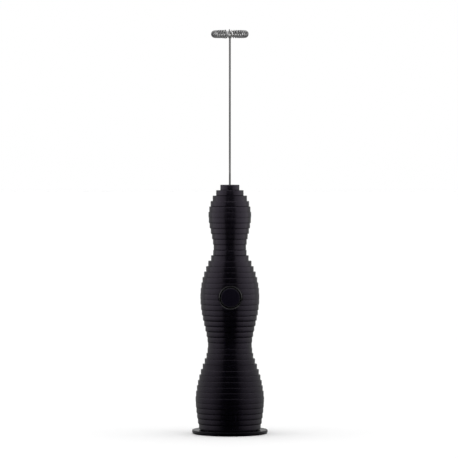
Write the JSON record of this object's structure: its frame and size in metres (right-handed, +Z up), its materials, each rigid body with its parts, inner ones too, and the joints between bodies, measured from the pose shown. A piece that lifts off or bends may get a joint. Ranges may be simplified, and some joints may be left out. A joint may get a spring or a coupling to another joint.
{
  "type": "milk frother",
  "caption": "Free-standing battery milk frother with a stepped three-bulge body, thumb button, steel shaft and sprung ring whisk.",
  "frame": {"origin": "centre of the foot, on the surface that the frother stands on", "axes": "+Z up along the whisk shaft, -Y towards the front, where the button is"},
  "size_m": [0.058, 0.058, 0.31],
  "materials": {
    "body_plastic": "satin moulded ABS",
    "foot_plastic": "high gloss",
    "button_plastic": "fine satin",
    "frame_plastic": "as moulded",
    "bearing_plastic": "as moulded",
    "rubber": "fine texture",
    "wire_steel": "bright drawn stainless",
    "motor_steel": "zinc plated",
    "contact_metal": "nickel plated",
    "brass": "turned",
    "ferrite": "ground",
    "cell_wrap": "printed wrap with no markings",
    "circuit_board": "solder mask",
    "red_lead": "PVC insulation",
    "black_lead": "PVC insulation"
  },
  "bodies": {
    "housing": {"crown_shell": "body_plastic", "grip_shell": "body_plastic", "lower_shell": "body_plastic", "battery_box": "frame_plastic", "battery_cell_1": "cell_wrap", "battery_cell_2": "cell_wrap", "negative_spring": "contact_metal", "positive_plate": "contact_metal", "contact_carrier": "frame_plastic", "bridge_strip": "contact_metal", "bridge_spring": "contact_metal", "inner_frame": "frame_plastic", "frame_screw_1": "motor_steel", "frame_screw_2": "motor_steel", "flange_screw_1": "motor_steel", "flange_screw_2": "motor_steel", "motor_can": "motor_steel", "motor_end_bell": "bearing_plastic", "motor_terminal_1": "contact_metal", "motor_terminal_2": "contact_metal", "motor_magnet_1": "ferrite", "motor_magnet_2": "ferrite", "motor_damper": "rubber", "motor_retainer": "frame_plastic", "shaft_bush": "bearing_plastic", "switch_bezel": "foot_plastic", "button_spring": "contact_metal", "switch_base": "frame_plastic", "switch_board": "circuit_board", "switch_terminal_1": "contact_metal", "switch_terminal_2": "contact_metal", "lead_battery_switch": "red_lead", "lead_switch_motor": "red_lead", "lead_battery_motor": "black_lead"},
    "whisk": {"motor_rotor": "motor_steel", "drive_coupling": "brass", "whisk_shaft": "wire_steel", "whisk_coil": "wire_steel"},
    "button": {"button_cap": "button_plastic", "contact_bridge": "contact_metal"},
    "foot": {"base_disc": "foot_plastic", "foot_pad": "rubber"}
  },
  "joints": [
    {"name": "whisk_spin", "type": "hinge", "parent": "housing", "child": "whisk", "pos_m": [0, 0, 0.1804], "axis": [0, 0, 1], "continuous": true},
    {"name": "button_press", "type": "slide", "parent": "housing", "child": "button", "axis": [0, 1, 0], "range_m": [0, 0.0012], "stiffness_N_per_m": 1000, "springref_m": -0.001, "deforming": ["button_spring"]},
    {"name": "foot_twist", "type": "hinge", "parent": "housing", "child": "foot", "pos_m": [0, 0, 0.003], "axis": [0, 0, 1], "range_deg": [0, 35]}
  ]
}
